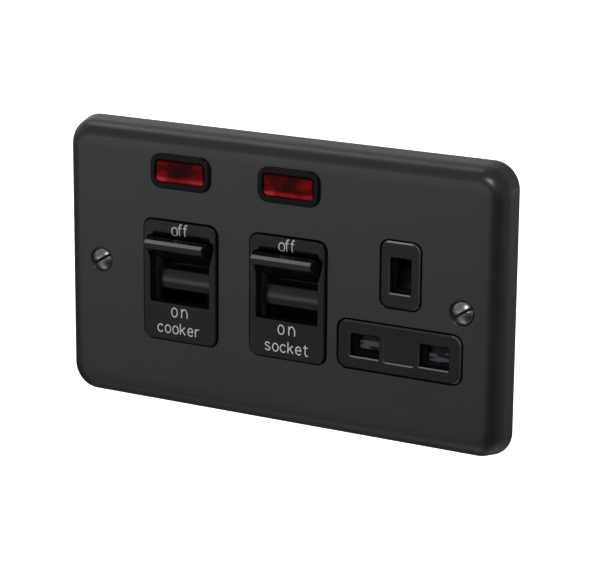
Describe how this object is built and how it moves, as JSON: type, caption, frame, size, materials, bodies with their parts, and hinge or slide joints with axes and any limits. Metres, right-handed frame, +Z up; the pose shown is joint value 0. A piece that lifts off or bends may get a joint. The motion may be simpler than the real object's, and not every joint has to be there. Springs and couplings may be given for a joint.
{
  "type": "cooker control unit",
  "caption": "Black metal double wall plate with lever switches for a cooker and a socket outlet, neon indicators, and a shuttered three-pin outlet.",
  "frame": {"origin": "centre of the plate's rear rim, in the wall plane, midway between the fixing screws", "axes": "-Y is the front, +X is to the right seen from the front, +Z is up"},
  "size_m": [0.1466, 0.0346, 0.086],
  "materials": {
    "plate": "satin black coat",
    "screw_dark": "dark plated",
    "moulding": "moulded",
    "black_gloss": "semi gloss",
    "lever": "semi gloss",
    "neon_black": "gloss",
    "lens_red": "clear tinted",
    "lamp_glass": "clear",
    "resistor": "lacquered",
    "shutter": "moulded",
    "plunger": "moulded",
    "brass": "bright",
    "copper": "bright copper with silver button",
    "steel": "zinc plated"
  },
  "bodies": {
    "unit": {"assembly_screws": "steel", "base_moulding": "moulding", "earth_strap": "brass", "earth_strap_screw": "steel", "fixing_screws": "screw_dark", "front_plate": "plate", "link_live": "brass", "link_neutral": "brass", "load_contact_cooker_live": "brass", "load_contact_cooker_neutral": "brass", "load_contact_socket_live": "brass", "load_contact_socket_neutral": "brass", "neon_bezel_cooker": "neon_black", "neon_bezel_socket": "neon_black", "neon_lamp_cooker": "lamp_glass", "neon_lamp_socket": "lamp_glass", "neon_lens_cooker": "lens_red", "neon_lens_socket": "lens_red", "neon_resistor_cooker": "resistor", "neon_resistor_socket": "resistor", "pivot_pin_cooker": "steel", "pivot_pin_socket": "steel", "shutter_cover": "moulding", "shutter_spring": "steel", "socket_clip_earth": "brass", "socket_clip_live": "brass", "socket_clip_neutral": "brass", "socket_moulding": "black_gloss", "supply_contact_cooker_live": "brass", "supply_contact_cooker_neutral": "brass", "supply_contact_socket_live": "brass", "supply_contact_socket_neutral": "brass", "switch_bezel_cooker": "black_gloss", "switch_bezel_socket": "black_gloss", "switch_moulding": "moulding", "terminal_earth": "brass", "terminal_load_live": "brass", "terminal_load_neutral": "brass", "terminal_screws": "steel", "terminal_supply_live": "brass", "terminal_supply_neutral": "brass"},
    "cooker_lever": {"lever_cooker": "lever", "plungers_cooker": "plunger", "plunger_springs_cooker": "steel"},
    "socket_lever": {"lever_socket": "lever", "plungers_socket": "plunger", "plunger_springs_socket": "steel"},
    "cooker_rockers": {"rocker_cooker_live": "copper", "rocker_cooker_neutral": "copper"},
    "socket_rockers": {"rocker_socket_neutral": "copper", "rocker_socket_live": "copper"},
    "shutter": {"shutter": "shutter"}
  },
  "joints": [
    {"name": "cooker_lever_hinge", "type": "hinge", "parent": "unit", "child": "cooker_lever", "pos_m": [-0.03215, 0.004, 0.0005], "axis": [1, 0, 0], "range_deg": [0, 49.4]},
    {"name": "cooker_rocker_hinge", "type": "hinge", "parent": "unit", "child": "cooker_rockers", "pos_m": [-0.03215, 0.01795, 0.0005], "axis": [1, 0, 0], "range_deg": [-18, 0]},
    {"name": "socket_lever_hinge", "type": "hinge", "parent": "unit", "child": "socket_lever", "pos_m": [0.0044, 0.004, 0.0005], "axis": [1, 0, 0], "range_deg": [0, 49.4]},
    {"name": "socket_rocker_hinge", "type": "hinge", "parent": "unit", "child": "socket_rockers", "pos_m": [0.0044, 0.01795, 0.0005], "axis": [1, 0, 0], "range_deg": [-18, 0]},
    {"name": "shutter_slide", "type": "slide", "parent": "unit", "child": "shutter", "axis": [0, 0, -1], "range_m": [0, 0.0055], "stiffness_N_per_m": 120, "springref_m": -0.004, "deforming": ["shutter_spring"]}
  ],
  "couplings": [
    {"joint": "cooker_rocker_hinge", "follows": "cooker_lever_hinge", "ratio": -0.3643},
    {"joint": "socket_rocker_hinge", "follows": "socket_lever_hinge", "ratio": -0.3643}
  ]
}
